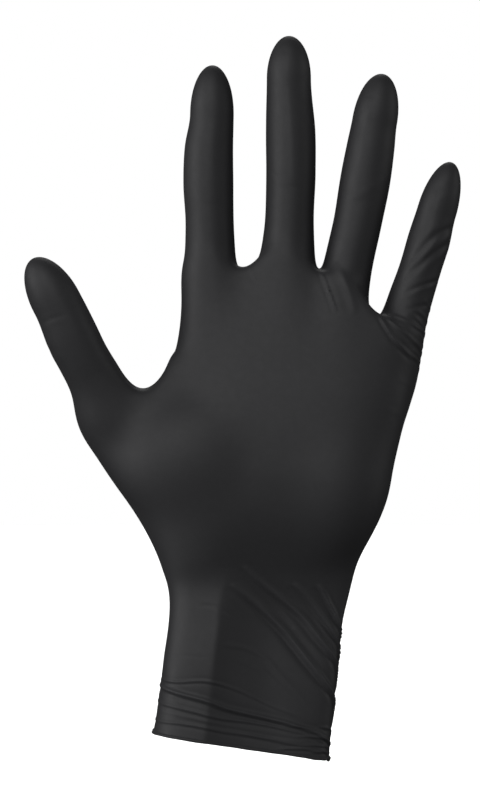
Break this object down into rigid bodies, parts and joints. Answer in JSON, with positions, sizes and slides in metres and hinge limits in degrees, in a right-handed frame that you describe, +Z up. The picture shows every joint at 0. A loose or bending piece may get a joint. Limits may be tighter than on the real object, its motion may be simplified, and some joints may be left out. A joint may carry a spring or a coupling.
{
  "type": "disposable nitrile glove",
  "caption": "Thin black dipped examination glove in its worn shape, with a rolled cuff bead, and fingers and palm that bend.",
  "frame": {"origin": "centre of the cuff's rim, where the wearer's wrist goes in", "axes": "+Z up the forearm to the fingertips, -Y towards the palm side, -X towards the thumb of this left-hand shape"},
  "size_m": [0.1501, 0.0472, 0.2459],
  "materials": {
    "film": "satin",
    "bead": "satin"
  },
  "bodies": {
    "hand": {"cuff_bead": "bead", "cuff": "film", "palm": "film"},
    "knuckles": {"finger_roots": "film", "index_base": "film", "middle_base": "film", "ring_base": "film", "little_base": "film"},
    "index_middle": {"index_middle": "film"},
    "index_tip": {"index_tip": "film"},
    "middle_middle": {"middle_middle": "film"},
    "middle_tip": {"middle_tip": "film"},
    "ring_middle": {"ring_middle": "film"},
    "ring_tip": {"ring_tip": "film"},
    "little_middle": {"little_middle": "film"},
    "little_tip": {"little_tip": "film"},
    "thumb_base": {"thumb_base": "film"},
    "thumb_tip": {"thumb_tip": "film"}
  },
  "joints": [
    {"name": "knuckle_bend", "type": "hinge", "parent": "hand", "child": "knuckles", "pos_m": [0.02, -0.0075, 0.1365], "axis": [0.9681, 0, -0.2504], "range_deg": [0, 60], "stiffness_Nm_per_rad": 0.02},
    {"name": "index_middle_bend", "type": "hinge", "parent": "knuckles", "child": "index_middle", "pos_m": [-0.0104, -0.00821, 0.18225], "axis": [1, 0, 0], "range_deg": [0, 85], "stiffness_Nm_per_rad": 0.003},
    {"name": "index_tip_bend", "type": "hinge", "parent": "index_middle", "child": "index_tip", "pos_m": [-0.0104, -0.00957, 0.20671], "axis": [1, 0, 0], "range_deg": [0, 45]},
    {"name": "middle_middle_bend", "type": "hinge", "parent": "knuckles", "child": "middle_middle", "pos_m": [0.0166, -0.00851, 0.18865], "axis": [1, 0, 0], "range_deg": [0, 85], "stiffness_Nm_per_rad": 0.003},
    {"name": "middle_tip_bend", "type": "hinge", "parent": "middle_middle", "child": "middle_tip", "pos_m": [0.0166, -0.01009, 0.2156], "axis": [1, 0, 0], "range_deg": [0, 45]},
    {"name": "ring_middle_bend", "type": "hinge", "parent": "knuckles", "child": "ring_middle", "pos_m": [0.03905, -0.00818, 0.17799], "axis": [0.9854, 0, -0.1702], "range_deg": [0, 85], "stiffness_Nm_per_rad": 0.003},
    {"name": "ring_tip_bend", "type": "hinge", "parent": "ring_middle", "child": "ring_tip", "pos_m": [0.04347, -0.00968, 0.20357], "axis": [0.9854, 0, -0.1702], "range_deg": [0, 45]},
    {"name": "little_middle_bend", "type": "hinge", "parent": "knuckles", "child": "little_middle", "pos_m": [0.05957, -0.00636, 0.15723], "axis": [0.9646, 0, -0.2639], "range_deg": [0, 85], "stiffness_Nm_per_rad": 0.003},
    {"name": "little_tip_bend", "type": "hinge", "parent": "little_middle", "child": "little_tip", "pos_m": [0.06498, -0.00737, 0.17698], "axis": [0.9646, 0, -0.2639], "range_deg": [0, 45]},
    {"name": "thumb_base_bend", "type": "hinge", "parent": "hand", "child": "thumb_base", "pos_m": [-0.04014, -0.01627, 0.11854], "axis": [0.5799, 0.7003, 0.4164], "range_deg": [0, 30], "stiffness_Nm_per_rad": 0.004},
    {"name": "thumb_tip_bend", "type": "hinge", "parent": "thumb_base", "child": "thumb_tip", "pos_m": [-0.05332, -0.01826, 0.14023], "axis": [0.5799, 0.7003, 0.4164], "range_deg": [0, 45], "stiffness_Nm_per_rad": 0.003}
  ],
  "couplings": [
    {"joint": "index_tip_bend", "follows": "index_middle_bend", "ratio": 0.52941},
    {"joint": "middle_tip_bend", "follows": "middle_middle_bend", "ratio": 0.52941},
    {"joint": "ring_tip_bend", "follows": "ring_middle_bend", "ratio": 0.52941},
    {"joint": "little_tip_bend", "follows": "little_middle_bend", "ratio": 0.52941}
  ]
}
